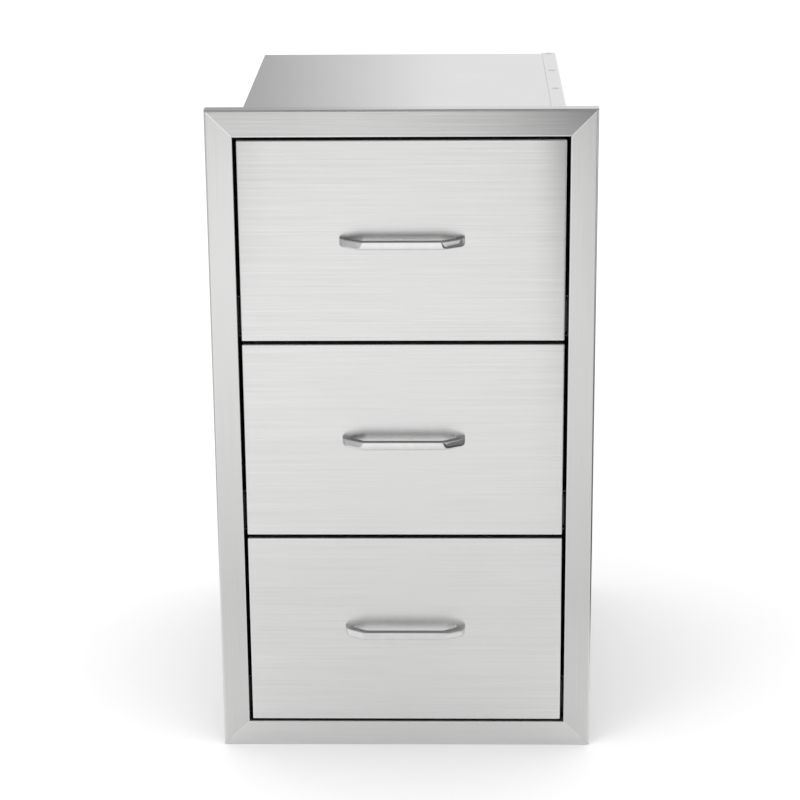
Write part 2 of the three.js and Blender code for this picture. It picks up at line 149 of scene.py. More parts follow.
class BodySizes(bpy.types.PropertyGroup):
    """Sizes of the folded cabinet body."""

    sheet: length("Sheet", "Thickness of the body's sheet", 0.0007)
    depth: length("Depth", "Depth behind the frame's face", 0.4705)
    bend: length("Bend", "Outside radius of the folds", 0.0014)
    lap_width: length("Lap width", "Width of the welded lap flange", 0.0165)
    lap_gap: length("Lap gap", "Clearance between lapped sheets", 0.00015)
    setback: length("Setback", "How far the sheets start behind the face", 0.003)
    back_inset: length("Back inset", "How far the back sits in from the rear edge", 0.0025)
    back_flange: length("Back flange", "Depth of the back's flanges", 0.014)
    # A strip this wide along each lap's free edge is darkened.
    seam_soil: length("Seam soil", "Width of the darkened strip along a lap's edge", 0.0016)
    weld_diameter: length("Weld diameter", "Diameter of a spot weld's dimple", 0.0082)
    weld_pitch: length("Weld pitch", "Distance between spot welds", 0.1088)
    weld_rear: length("Weld rear", "Distance of the last weld from the rear edge", 0.0071)
    weld_rise: length("Weld rise", "Height of the weld's raised ring", 0.00012)
    weld_count: count("Welds", "Spot welds along each lap", 5)


class FrontSizes(bpy.types.PropertyGroup):
    """Sizes of the drawer fronts."""

    side_gap: length("Side gap", "Gap at each side of the opening", 0.0037)
    top_gap: length("Top gap", "Gap above the top front", 0.0031)
    bottom_gap: length("Bottom gap", "Gap below the bottom front", 0.0027)
    between_gap: length("Gap between", "Gap between two fronts", 0.0038)
    depth: length("Depth", "Depth of the folded pan", 0.0146)
    sheet: length("Sheet", "Thickness of the front's sheet", 0.0008)
    bend: length("Bend", "Outside radius of the folds", 0.001)
    corner: length("Corner", "Radius of the front's corners", 0.0012)
    flange: length("Flange", "Width of the flange behind", 0.011)
    liner_sheet: length("Liner sheet", "Thickness of the liner", 0.0007)
    liner_inset: length("Liner inset", "How far the liner sits in from the pan's edge", 0.0015)


class TubSizes(bpy.types.PropertyGroup):
    """Sizes of the drawer tubs."""

    sheet: length("Sheet", "Thickness of the tub's sheet", 0.0007)
    height: length("Height", "Height of the tub", 0.16)
    lift: length("Lift", "Height of the tub above the front's lower edge", 0.008)
    rear_gap: length("Rear gap", "Clearance behind the tub", 0.012)
    corner: length("Corner", "Radius of the tub's upright corners", 0.003)
    bend: length("Bend", "Radius of the folds", 0.0012)
    rim_roll: length("Rim roll", "Width of the rolled rim", 0.0034)
    rim_drop: length("Rim drop", "Height of the rolled rim", 0.007)


class HandleSizes(bpy.types.PropertyGroup):
    """Sizes of the bow handles and their screws."""

    spacing: length("Spacing", "Distance between the two screws", 0.122)
    projection: length("Projection", "How far the bow stands out from the front", 0.0225)
    rise: length("Rise", "How far the handle sits above the front's middle", 0.0012)
    bar_deep: length("Bar depth", "Depth of the bar", 0.0095)
    bar_tall: length("Bar height", "Height of the bar", 0.0092)
    bar_edge: length("Bar edge", "Radius along the bar's upper edges", 0.0006)
    bar_low_edge: length("Low bar edge", "Radius along the bar's lower edges", 0.0018)
    bar_crown: length("Bar crown", "How far the bar's broad faces bulge", 0.00025)
    bar_fall: length("Bar fall", "Fall of the bar's top towards the drawer", 0.0009)
    bend_length: length("Bend length", "Length of each slanted end across the front", 0.018)
    bend_depth: length("Bend depth", "Depth of each slanted end", 0.011)
    bend_radius: length("Bend radius", "Radius of the bends at the bar's middle", 0.009)
    screw_head: length("Screw head", "Diameter of a screw's head", 0.008)
    screw_head_tall: length("Head height", "Height of a screw's head", 0.0026)
    screw_head_round: length("Head round", "Radius at the head's rim", 0.0014)
    screw_shank: length("Screw shank", "Diameter of a screw's shank", 0.004)
    screw_bite: length("Screw bite", "Length of thread in the handle's foot", 0.009)
    recess_width: length("Recess width", "Span of the cross recess", 0.0044)
    recess_slot: length("Recess slot", "Width of each arm of the recess", 0.0009)
    recess_deep: length("Recess depth", "Depth of the cross recess", 0.0015)


class SlideSizes(bpy.types.PropertyGroup):
    """Sizes of the telescopic slides."""

    height: length("Height", "Height of the cabinet member", 0.0457)
    thickness: length("Thickness", "Thickness of the whole slide", 0.0127)
    length: length("Length", "Length of each member", 0.45)
    start: length("Start", "How far the slides start behind the face", 0.0162)
    member_sheet: length("Member sheet", "Sheet of the cabinet and drawer members", 0.0012)
    middle_sheet: length("Middle sheet", "Sheet of the intermediate member", 0.001)
    member_bend: length("Member bend", "Bend of the cabinet and drawer members", 0.001)
    middle_bend: length("Middle bend", "Bend of the intermediate member", 0.0009)
    ball: length("Ball", "Diameter of a ball", 0.004)
    ball_clearance: length("Ball clearance", "Play between ball and groove", 0.00015)
    groove_depth: length("Groove depth", "How deep a groove is rolled", 0.0005)
    outer_inset: length("Outer balls", "Distance of the outer balls from the wall", 0.0057)
    inner_inset: length("Inner balls", "Distance of the inner balls from the wall", 0.0091)
    cage_sheet: length("Cage sheet", "Sheet of the ball cages", 0.0006)
    cage_gap: length("Cage gap", "Clearance beside a cage", 0.0003)
    cage_length: length("Cage length", "Length of a ball cage", 0.096)
    cage_lip: length("Cage lip", "How far a cage reaches past its balls", 0.0016)
    hook: angle("Hook", "Angle at which a groove's lip ends", math.radians(20.0))
    balls: count("Balls", "Balls in each row of a cage", 7)
    rivet_head: length("Rivet head", "Diameter of a rivet's head", 0.0078)
    rivet_rise: length("Rivet rise", "Height of a rivet's head", 0.0009)
    rivet_margin: length("Rivet margin", "Distance of the end rivets from a member's ends", 0.035)
    rivets: count("Rivets", "Rivets along a member", 3)


class Finishes(bpy.types.PropertyGroup):
    """Colours and surface numbers of the metals."""

    # The stiles, top rail and bottom rail are one steel; their different tones are painted light, the bottom
    # rail lightest.
    stile_steel: colour("Stile steel", "Brushed steel of the frame's stiles", (0.70, 0.70, 0.695))
    top_rail_steel: colour("Top rail steel", "Brushed steel of the top rail", (0.71, 0.71, 0.705))
    bottom_rail_steel: colour("Bottom rail steel", "Brushed steel of the bottom rail", (0.79, 0.79, 0.785))
    front_steel: colour("Front steel", "Brushed steel of the drawer fronts", (0.82, 0.82, 0.815))
    body_steel: colour("Body steel", "Brushed steel of the cabinet body", (0.76, 0.76, 0.76))
    plain_steel: colour("Plain steel", "Milled steel inside", (0.75, 0.755, 0.76))
    polished_steel: colour("Polished steel", "Polished steel of the handles", (0.79, 0.79, 0.79))
    zinc_plate: colour("Zinc plate", "Bright zinc of slides and screws", (0.62, 0.65, 0.67))
    cage_steel: colour("Cage steel", "Metal of the ball cages", (0.50, 0.49, 0.46))
    weld_steel: colour("Weld steel", "Steel tinted by a spot weld", (0.66, 0.66, 0.65))
    # Edges and bends are lightened to this tone, partly as wear and partly as a painted highlight.
    wear_tone: colour("Worn edge", "Tone of edges polished by handling", (0.92, 0.92, 0.92))
    brushed_roughness: share("Brushed roughness", "Mean roughness of brushed faces", 0.22)
    plain_roughness: share("Plain roughness", "Mean roughness of milled faces", 0.38)
    polished_roughness: share("Polished roughness", "Mean roughness of the handles", 0.05)
    zinc_roughness: share("Zinc roughness", "Mean roughness of zinc plate", 0.33)
    stretch: share("Stretch", "How far highlights are drawn out across the grain", 0.75)
    lines: strength("Lines", "Brushing lines in a metre across the grain", 2200.0)
    run: strength("Run", "Breaks of a brushing line in a metre", 9.0)
    grain_deep: length("Grain depth", "Depth of the brushing lines", 0.000004)
    wave_deep: length("Wave depth", "Depth of the slow waves in the sheet", 0.00025)
    roll_off: strength("Roll-off", "Curve by which a front's skin falls away at its sides", 0.55)
    rail_twist: strength("Rail twist", "Slope by which the top rail leans back at its right end", 0.07)


class StageSettings(bpy.types.PropertyGroup):
    """Floor, light and camera."""

    floor_size: length("Floor size", "Side of the square floor", 30.0)
    floor_tone: colour("Floor tone", "Colour of the floor", (0.86, 0.86, 0.86))
    floor_seen: colour("Seen floor", "Colour of the floor where the camera sees it", (0.97, 0.97, 0.97))
    soft_light: strength("Soft light", "Brightness of the light from all round", 1.17)
    behind: strength("Behind", "Brightness of the studio behind, as the metal mirrors it", 1.0)
    behind_left: share("Behind left", "Share of that brightness left at its left end", 0.48)
    behind_edge: pair("Behind edge", "Where the left end starts and stops", (-0.085, -0.01))
    above: strength("Above", "Brightness of the studio high up", 0.4)
    left_side: strength("Left side", "Brightness of the studio on the left", 0.5)
    right_side: strength("Right side", "Brightness of the studio on the right", 0.25)
    # The next four settings shape the floor's painted reflection in metal.
    near_floor: share("Near floor", "Share of the floor's tone mirrored close to the unit", 0.77)
    foot_floor: strength("Foot", "Times by which that share grows at the unit's foot", 1.2)
    foot_fade: span("Foot fade", "Where that growth starts and is gained", (-0.65, -0.24))
    near_fade: span("Near fade", "Where that share is left and gained", (-0.6, -3.0))
    lamp_power: strength("Lamp power", "Power of the soft lamp at the front left", 9.0)
    lamp_size: length("Lamp size", "Side of the soft lamp", 1.0)
    lens: FloatProperty(name="Lens", description="Focal length on a 36 mm sensor",
                        default=109.69, min=1.0, unit="CAMERA")


class DrawerUnitSettings(bpy.types.PropertyGroup):
    """All settings of the drawer unit."""

    frame: PointerProperty(type=FrameSizes, name="Face frame")
    body: PointerProperty(type=BodySizes, name="Cabinet body")
    front: PointerProperty(type=FrontSizes, name="Drawer fronts")
    tub: PointerProperty(type=TubSizes, name="Drawer tubs")
    handle: PointerProperty(type=HandleSizes, name="Handles")
    slide: PointerProperty(type=SlideSizes, name="Slides")
    finish: PointerProperty(type=Finishes, name="Finishes")
    stage: PointerProperty(type=StageSettings, name="Stage")


def settings():
    """The drawer unit's settings in this scene."""
    return bpy.context.scene.drawer_unit


class Places:
    """Places worked out from the sizes, measured from the middle of the frame's face."""

    def __init__(self, unit):
        outer, body, front, tub = unit.frame, unit.body, unit.front, unit.tub
        opening_half = outer.width / 2 - outer.face_width
        opening_bottom = outer.face_width
        opening_top = outer.height - outer.face_width
        self.lap_step = body.sheet + body.lap_gap
        self.body_half = opening_half + outer.sheet + self.lap_step
        self.wall_inside = self.body_half - body.sheet
        self.panel_half = self.wall_inside - body.bend
        self.body_top = opening_top + outer.sheet + self.lap_step
        self.body_bottom = opening_bottom - outer.sheet - self.lap_step
        self.back_face = body.depth - body.back_inset - body.lap_gap
        self.front_half = opening_half - front.side_gap
        stack = opening_top - front.top_gap - opening_bottom - front.bottom_gap
        gaps = (len(LABELS) - 1) * front.between_gap
        self.front_height = (stack - gaps) / len(LABELS)
        self.front_pitch = self.front_height + front.between_gap
        self.lowest = opening_bottom + front.bottom_gap
        self.liner_front = front.depth + body.lap_gap
        self.tub_front = self.liner_front + front.liner_sheet + body.lap_gap
        self.tub_rear = self.back_face - body.sheet - tub.rear_gap
        self.slide_wall = self.wall_inside - body.lap_gap
        self.tub_half = self.slide_wall - unit.slide.thickness - body.lap_gap

    def drawers(self):
        """Each drawer's word, its body and the height of its front's lower edge."""
        for i, label in enumerate(LABELS):
            yield label, f"{label}_drawer", self.lowest + i * self.front_pitch


# Shapes


def arc(centre_x, centre_y, radius, start, end, steps):
    """Points along an arc, its ends included."""
    turns = [start + (end - start) * i / steps for i in range(steps + 1)]
    return [Vector((centre_x + radius * math.cos(a), centre_y + radius * math.sin(a))) for a in turns]


def bent_line(corners, radii, steps=6, fade=0.0):
    """The middle line of a folded sheet and the wear of each point: full on a bend, none on a flat."""
    corners = [Vector(c) for c in corners]
    bends = []
    for i in range(1, len(corners) - 1):
        radius = radii[i - 1] if isinstance(radii, (list, tuple)) else radii
        before = (corners[i - 1] - corners[i]).normalized()
        after = (corners[i + 1] - corners[i]).normalized()
        half = before.angle(after) / 2
        centre = corners[i] + (before + after).normalized() * radius / math.sin(half)
        reach = radius / math.tan(half)
        turn = math.copysign(math.pi - 2 * half, after.x * before.y - after.y * before.x)
        spoke = corners[i] + before * reach - centre
        bends.append([centre + Matrix.Rotation(turn * step / steps, 2) @ spoke for step in range(steps + 1)])
    points, wear = [corners[0]], [0.0]
    for bend, following in zip([[corners[0]], *bends], [*bends, [corners[-1]]]):
        flat = following[0] - bend[-1]
        if fade and flat.length > 3 * fade:
            supports = [bend[-1] + flat.normalized() * fade, following[0] - flat.normalized() * fade]
            supports = supports[bend[-1] == corners[0]:]
            supports = supports[:len(supports) - (following[0] == corners[-1])]
            points += supports
            wear += [0.0] * len(supports)
        points += following
        wear += [float(following[0] != corners[-1])] * len(following)
    return points, wear


def sheet_outline(points, sheet):
    """Outline of a sheet whose middle follows the points: down one side and back up the other."""
    last = len(points) - 1
    left, right = [], []
    for i, point in enumerate(points):
        before = (point - points[max(i - 1, 0)]).normalized()
        after = (points[min(i + 1, last)] - point).normalized()
        along = (before + after).normalized()
        if i == 0:
            along, spread = after, 1.0
        elif i == last:
            along, spread = before, 1.0
        else:
            spread = along.dot(after)
        offset = Vector((-along.y, along.x)) * (sheet / 2 / spread)
        left.append(point + offset)
        right.append(point - offset)
    return left + right[::-1]


def rounded_rectangle(half_x, half_y, corner, steps=5, fade=0.0, low_corner=None):
    """A rectangle with rounded corners, as points, with a point on each flat beside every corner."""
    points = []
    for quarter, (sign_x, sign_y) in enumerate(CORNERS):
        radius = max(corner if low_corner is None or quarter < 2 else low_corner, LEAST_CORNER)
        centre = (sign_x * (half_x - radius), sign_y * (half_y - radius))
        bend = arc(*centre, radius, quarter * QUARTER, (quarter + 1) * QUARTER, steps)
        if fade:
            start, end = quarter * QUARTER - QUARTER, (quarter + 2) * QUARTER
            bend.insert(0, bend[0] + fade * Vector((math.cos(start), math.sin(start))))
            bend.append(bend[-1] + fade * Vector((math.cos(end), math.sin(end))))
        points += bend
    return points


def skin(rings, wear_round=None, wear_along=None, caps="flat"):
    """Joins rings of points into one closed skin. Its ends close flat, or in pairs for a folded sheet."""
    size = len(rings[0])
    points = [Vector(p) for ring in rings for p in ring]
    wear_round = wear_round or [0.0] * size
    wear_along = wear_along or [0.0] * len(rings)
    wear = [max(a, b) for a in wear_along for b in wear_round]
    faces = []
    for start in range(0, (len(rings) - 1) * size, size):
        for i in range(size):
            a, b = start + i, start + (i + 1) % size
            faces.append((a, b, b + size, a + size))
    last = (len(rings) - 1) * size
    if caps == "flat":
        faces.append(tuple(reversed(range(size))))
        faces.append(tuple(last + i for i in range(size)))
    else:
        for i in range(size // 2 - 1):
            far = size - 1 - i
            faces.append((i, far, far - 1, i + 1))
            faces.append((last + i, last + i + 1, last + far - 1, last + far))
    return points, faces, wear


def carried(line, wear, sheet, ends, stand):
    """A folded or rolled sheet: its section goes from one end to the other. Stand places (point, end)."""
    outline = sheet_outline(line, sheet)
    return skin([[stand(p, end) for p in outline] for end in ends], wear + wear[::-1], caps="pairs")


def lathe(profile, sides):
    """A turned skin round the Y axis. The profile is (radius, y) pairs that start and end on the axis."""
    points = [Vector((0, profile[0][1], 0)), Vector((0, profile[-1][1], 0))]
    faces = []
    inner = profile[1:-1]
    for radius, y in inner:
        for i in range(sides):
            turn = 2 * math.pi * i / sides
            points.append(Vector((radius * math.cos(turn), y, radius * math.sin(turn))))
    for i in range(sides):
        follows = (i + 1) % sides
        faces.append((0, 2 + i, 2 + follows))
        for ring in range(len(inner) - 1):
            a, b = 2 + ring * sides + i, 2 + ring * sides + follows
            faces.append((a, a + sides, b + sides, b))
        last = 2 + (len(inner) - 1) * sides
        faces.append((1, last + follows, last + i))
    return points, faces, [0.0] * len(points)


def button(radius, rise, shape, root, sides):
    """A turned spot facing -Y: its shape is in shares of radius and rise, its root is sunk in the sheet."""
    return lathe([(0, root), (radius, root)] + [(radius * x, rise * y) for x, y in shape], sides)


def ball(centre, radius, sides=14, rings=8):
    """A ball round a point."""
    profile = [(radius * math.sin(math.pi * i / rings), -radius * math.cos(math.pi * i / rings))
               for i in range(rings + 1)]
    return moved(lathe(profile, sides), Matrix.Translation(centre))


def moved(part, matrix):
    """A skin carried by a matrix."""
    points, faces, wear = part
    return [matrix @ p for p in points], faces, wear


def map_grain(mesh, along, turned):
    """Gives each face a map in metres: across the grain first and along it second.
    The grain runs along one axis, and along the other where a face looks down the first."""
    layer = mesh.uv_layers.new(name=GRAIN_MAP)
    run, spare = "XYZ".index(along), "XYZ".index(turned)
    for face in mesh.polygons:
        facing = max(range(3), key=lambda axis: abs(face.normal[axis]))
        v_axis = spare if facing == run else run
        u_axis = 3 - facing - v_axis
        for loop in face.loop_indices:
            place = mesh.vertices[mesh.loops[loop].vertex_index].co
            layer.data[loop].uv = (place[u_axis], place[v_axis])


def build_mesh(name, parts, grain="XY", sharp=35.0):
    """One mesh from closed skins, smooth but for its sharp edges, with its wear and its grain."""
    points, faces, wear = [], [], []
    for part_points, part_faces, part_wear in parts:
        base = len(points)
        points += part_points
        faces += [tuple(base + i for i in face) for face in part_faces]
        wear += part_wear
    mesh = bpy.data.meshes.new(name)
    mesh.from_pydata(points, [], faces)
    work = bmesh.new()
    work.from_mesh(mesh)
    bmesh.ops.recalc_face_normals(work, faces=work.faces)
    work.to_mesh(mesh)
    work.free()
    mesh.attributes.new(WEAR, "FLOAT", "POINT").data.foreach_set("value", wear)
    mesh.polygons.foreach_set("use_smooth", [True] * len(mesh.polygons))
    mesh.set_sharp_from_angle(angle=math.radians(sharp))
    map_grain(mesh, *grain)
    return mesh


def put(name, data):
    """A new object in the scene."""
    made = bpy.data.objects.new(name, data)
    bpy.context.scene.collection.objects.link(made)
    return made


def place(name, mesh, finish_name, body, slot_name, *nodes):
    """Puts a piece in the scene with its finish, on the body that carries it, for the nodes it stands for."""
    piece = put(name, mesh)
    mesh.materials.append(bpy.data.materials[finish_name])
    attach(piece, body)
    if nodes:
        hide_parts(*nodes)


def make(name, parts, grain, *where, sharp=35.0):
    """Builds a piece from closed skins and places it."""
    place(name, build_mesh(name, parts, grain, sharp), *where)


# Finishes


def feed(tree, node, inputs):
    """Gives a node's inputs numbers, colours or other nodes' outputs."""
    for key, value in inputs.items():
        socket = node.inputs[key]
        if isinstance(value, bpy.types.NodeSocket):
            tree.links.new(value, socket)
        else:
            socket.default_value = (*value, 1.0) if socket.type == "RGBA" else value


def add(tree, kind, inputs=None, **values):
    """A node of that kind, with its settings and inputs."""
    node = tree.nodes.new(kind)
    for key, value in values.items():
        setattr(node, key, value)
    feed(tree, node, inputs or {})
    return node


def sum_up(tree, operation, *inputs, clamp=False):
    """The output of a math node whose inputs are outputs or numbers."""
    node = add(tree, "ShaderNodeMath", dict(enumerate(inputs)), operation=operation, use_clamp=clamp)
    return node.outputs[0]


def times(tree, first, second, clamp=False):
    """One value times another."""
    return sum_up(tree, "MULTIPLY", first, second, clamp=clamp)


def blend_colours(tree, factor, first, second):
    """A colour between two others."""
    return add(tree, "ShaderNodeMix", {0: factor, 6: first, 7: second}, data_type="RGBA").outputs[2]


def blend_values(tree, factor, first, second):
    """A value between two others."""
    return add(tree, "ShaderNodeMix", {0: factor, 2: first, 3: second}, data_type="FLOAT").outputs[0]


def spread(tree, value, low, high, new_low=0.0, new_high=1.0):
    """A value stretched from one range to another and held inside it."""
    inputs = {"Value": value, "From Min": low, "From Max": high, "To Min": new_low, "To Max": new_high}
    return add(tree, "ShaderNodeMapRange", inputs, clamp=True).outputs["Result"]


def split(tree, kind="Object"):
    """X, Y and Z of a place on a piece, measured as in the whole unit, or of a direction in the world."""
    way = add(tree, "ShaderNodeTexCoord").outputs[kind]
    return add(tree, "ShaderNodeSeparateXYZ", {0: way}).outputs


def new_group(name, inputs, outputs):
    """An empty shader node group: its tree, the outputs of its start and its end."""
    tree = bpy.data.node_groups.new(name, "ShaderNodeTree")
    for label, default in inputs.items():
        socket = tree.interface.new_socket(name=label, in_out="INPUT", socket_type="NodeSocketFloat")
        socket.default_value = default
    for label in outputs:
        tree.interface.new_socket(name=label, in_out="OUTPUT", socket_type="NodeSocketFloat")
    return tree, add(tree, "NodeGroupInput").outputs, add(tree, "NodeGroupOutput")


def stretched_noise(tree, across, along, across_scale, along_scale, detail):
    """Noise drawn out along the grain."""
    spot = {"X": times(tree, across, across_scale), "Y": times(tree, along, along_scale)}
    inputs = {"Vector": add(tree, "ShaderNodeCombineXYZ", spot).outputs[0], "Scale": 1.0,
              "Detail": detail, "Roughness": 0.6}
    return add(tree, "ShaderNodeTexNoise", inputs, noise_dimensions="2D").outputs[0]


def even_noise(tree, scale, detail):
    """Noise over a piece, the same in every direction."""
    way = add(tree, "ShaderNodeTexCoord").outputs["Object"]
    return add(tree, "ShaderNodeTexNoise", {"Vector": way, "Scale": scale, "Detail": detail}).outputs[0]


def straight_brushing():
    """Group: the fine and broad lines of a straight brushed grain."""
    tree, start, end = new_group("straight_brushing", {"Lines": 2200.0, "Run": 9.0}, ["Shade", "Height"])
    grain = add(tree, "ShaderNodeUVMap", uv_map=GRAIN_MAP).outputs[0]
    across, along, _ = add(tree, "ShaderNodeSeparateXYZ", {0: grain}).outputs
    lines, run = start["Lines"], start["Run"]
    fine = stretched_noise(tree, across, along, lines, run, detail=2.0)
    lines, run = times(tree, lines, BROAD_LINES), times(tree, run, BROAD_RUN)
    broad = stretched_noise(tree, across, along, lines, run, detail=3.0)
    halves = times(tree, sum_up(tree, "ADD", fine, broad), 0.5)
    feed(tree, end, {"Shade": halves, "Height": fine})


def slow_cloud():
    """Group: slow changes over a sheet, for its tone and for the waves that it has from rolling."""
    tree, start, end = new_group("slow_cloud", {"Scale": 7.0}, ["Cloud", "Waves"])
    cloud = even_noise(tree, times(tree, start["Scale"], CLOUD_FINER), detail=3.0)
    feed(tree, end, {"Cloud": cloud, "Waves": even_noise(tree, start["Scale"], detail=1.0)})


def edge_wear():
    """Group: where edges and bends are lightened, partly as polish from handling and partly as a painted
    highlight along the bends, a little broken up.
    """
    tree, start, end = new_group("edge_wear", {"Breaks": 140.0, "Least": 0.55}, ["Mask"])
    worn = add(tree, "ShaderNodeAttribute", attribute_name=WEAR).outputs["Fac"]
    broken = sum_up(tree, "ADD", even_noise(tree, start["Breaks"], detail=2.0), start["Least"], clamp=True)
    feed(tree, end, {"Mask": times(tree, worn, broken)})


def use_group(tree, name, **inputs):
    """The outputs of a shared group placed in a material with its own values."""
    return add(tree, "ShaderNodeGroup", inputs, node_tree=bpy.data.node_groups[name]).outputs


def new_finish(name, metallic=1.0):
    """An empty material, as its tree and its shader."""
    if name in bpy.data.materials:
        raise ValueError(f"there is already a material called {name}")
    material = bpy.data.materials.new(name)
    material.use_nodes = True
    tree = material.node_tree
    tree.nodes.clear()
    shader = add(tree, "ShaderNodeBsdfPrincipled", {"Metallic": metallic})
    add(tree, "ShaderNodeOutputMaterial", {"Surface": shader.outputs[0]})
    return tree, shader


def scaled(tone, factor):
    """A colour made lighter or darker."""
    return tuple(min(1.0, c * factor) for c in tone)


def bump(tree, height, distance, under=None):
    """A bump from a height, over another one if given."""
    inputs = {"Height": height, "Distance": distance}
    if under is not None:
        inputs["Normal"] = under
    return add(tree, "ShaderNodeBump", inputs).outputs[0]


def twist(tree):
    """Height of a rail that leans back more and more towards its right end."""
    x, _, z = split(tree)
    lean = spread(tree, x, TWIST_FROM, TOP_RAIL[1].x, 0.0, -settings().finish.rail_twist)
    return times(tree, sum_up(tree, "SUBTRACT", z, TOP_RAIL[0].z), lean)


def roll_off(tree):
    """Height of a front whose skin falls away a little towards its folded sides."""
    past = sum_up(tree, "SUBTRACT", sum_up(tree, "ABSOLUTE", split(tree)["X"]), ROLL_FROM)
    past = sum_up(tree, "MAXIMUM", past, 0.0)
    return times(tree, times(tree, past, past), -settings().finish.roll_off)


def painted_gap_shade(tree):
    """Painted shade: where the slides' front ends, deep in the narrow side gap, are painted dark."""
    start = FACE_Y + settings().slide.start
    return spread(tree, split(tree)["Y"], start + GAP_SHADE[0], start + GAP_SHADE[1], 1.0, 0.0)


def brushed_finish(name, tone, roughness, contrast, wear_share, form):
    """Sheet steel with a straight brushed grain, slow waves and worn bends, whose lighter tone is partly wear
    and partly a painted highlight.
    """
    finish = settings().finish
    tree, shader = new_finish(name)
    grain = use_group(tree, "straight_brushing", Lines=finish.lines, Run=finish.run)
    slow = use_group(tree, "slow_cloud", Scale=7.0)
    worn = use_group(tree, "edge_wear", Breaks=140.0, Least=0.55)["Mask"]
    shade = spread(tree, grain["Shade"], *CLOUDS)
    toned = blend_colours(tree, shade, scaled(tone, 1 - contrast), scaled(tone, 1 + contrast))
    cloud = spread(tree, slow["Cloud"], *CLOUDS, 0.0, CLOUD_SHARE)
    toned = blend_colours(tree, cloud, toned, scaled(tone, CLOUD_TONE))
    # A negative wear darkens the strip along a lap's free edge.
    dark_edge = times(tree, worn, -1.0, clamp=True)
    toned = blend_colours(tree, dark_edge, toned, scaled(tone, SEAM_DARK_TONE))
    mask = times(tree, worn, wear_share, clamp=True)
    rough = spread(tree, grain["Shade"], *CLOUDS, roughness * 1.08, roughness * 0.92)
    waves = bump(tree, slow["Waves"], finish.wave_deep)
    if form:
        waves = bump(tree, form(tree), 1.0, waves)
    across = add(tree, "ShaderNodeTangent", direction_type="UV_MAP", uv_map=GRAIN_MAP)
    feed(tree, shader, {
        "Base Color": blend_colours(tree, mask, toned, finish.wear_tone),
        "Roughness": sum_up(tree, "SUBTRACT", rough, times(tree, mask, WORN_SMOOTHER), clamp=True),
        "Normal": bump(tree, grain["Height"], finish.grain_deep, waves),
        "Anisotropic": finish.stretch,
        "Tangent": across.outputs[0],
    })


def plain_finish(name, tone, roughness, contrast, soiled):
    """Metal with no grain to speak of: milled sheet, zinc plate or a cage's steel."""
    tree, shader = new_finish(name)
    slow = use_group(tree, "slow_cloud", Scale=28.0)
    worn = use_group(tree, "edge_wear", Breaks=200.0, Least=0.4)["Mask"]
    cloud = spread(tree, slow["Cloud"], *CLOUDS)
    toned = blend_colours(tree, cloud, scaled(tone, 1 - contrast), scaled(tone, 1 + contrast))
    # Painted shade: the slides' front ends are darkened where they sit in the side gap.
    if soiled:
        toned = blend_colours(tree, soiled(tree), toned, scaled(tone, GAP_SHADE_TONE))
    feed(tree, shader, {
        "Base Color": blend_colours(tree, times(tree, worn, 0.5), toned, settings().finish.wear_tone),
        "Roughness": spread(tree, slow["Cloud"], *CLOUDS, roughness * 0.85, roughness * 1.15),
        "Normal": bump(tree, slow["Waves"], PLAIN_WAVES),
    })


def polished_finish(name, tone, roughness):
    """Mirror polished steel with the faintest smears."""
    tree, shader = new_finish(name)
    cloud = use_group(tree, "slow_cloud", Scale=60.0)["Cloud"]
    smear = spread(tree, cloud, *SMEARS)
    feed(tree, shader, {
        "Base Color": blend_colours(tree, smear, scaled(tone, 0.97), scaled(tone, 1.03)),
        "Roughness": spread(tree, cloud, *SMEARS, roughness * 0.7, roughness * 1.6),
    })


class DRAWERUNIT_OT_finishes(bpy.types.Operator):
    """Makes the shared groups and every metal finish"""

    bl_idname = "drawer_unit.finishes"
    bl_label = "Finishes"

    def execute(self, context):
        finish = settings().finish
        straight_brushing()
        slow_cloud()
        edge_wear()
        for name, rougher, contrast, wear_share, form in (
            # The three frame tones are one steel in lit and shaded copies: painted light.
            ("stile_steel", 0.65, 0.035, 0.35, None),
            ("top_rail_steel", 1.0, 0.09, 0.35, twist),
            ("bottom_rail_steel", 1.0, 0.045, 0.35, None),
            # The fronts' bends are lightened most, partly wear and partly a painted highlight along their
            # edges.
            ("front_steel", 1.0, 0.065, 0.5, roll_off),
            ("body_steel", 0.9, 0.025, 0.2, None),
        ):
            roughness = finish.brushed_roughness * rougher
            brushed_finish(name, getattr(finish, name), roughness, contrast, wear_share, form)
        for name, tone, roughness, contrast, soiled in (
            ("milled_sheet", finish.plain_steel, finish.plain_roughness, 0.035, None),
            ("weld_mark", finish.weld_steel, finish.plain_roughness, 0.12, None),
            ("bright_zinc", finish.zinc_plate, finish.zinc_roughness, 0.08, None),
            # Zinc with painted shade on the slides' front ends, in the side gap.
            ("greased_zinc", finish.zinc_plate, finish.zinc_roughness, 0.08, painted_gap_shade),
            ("ball_steel", finish.cage_steel, finish.zinc_roughness, 0.06, None),
        ):
            plain_finish(name, tone, roughness, contrast, soiled)
        polished_finish("mirror_polish", finish.polished_steel, finish.polished_roughness)
        return {"FINISHED"}


# Pieces


def frame_member(sizes, span):
    """A channel along X, mitred at both ends, with its outer edge at Z zero and its opening edge below."""
    face = sizes.sheet / 2
    corners = [(face, sizes.rim_depth), (face, face), (sizes.face_width - face, face),
               (sizes.face_width - face, sizes.opening_flange)]
    radii = (sizes.rim_bend - face, sizes.opening_bend - face)
    line, wear = bent_line(corners, radii, steps=7, fade=0.0007)
    outline = sheet_outline(line, sizes.sheet)
    half = span / 2 - sizes.mitre_gap * math.sqrt(0.5)
    stations = [(-1, 0.0), (-1, sizes.seam_polish), (1, sizes.seam_polish), (1, 0.0)]
    rings = [[(side * (half - p.x - inset), p.y, -p.x) for p in outline] for side, inset in stations]
    return skin(rings, wear + wear[::-1], [1.0, 0.0, 0.0, 1.0], caps="pairs")


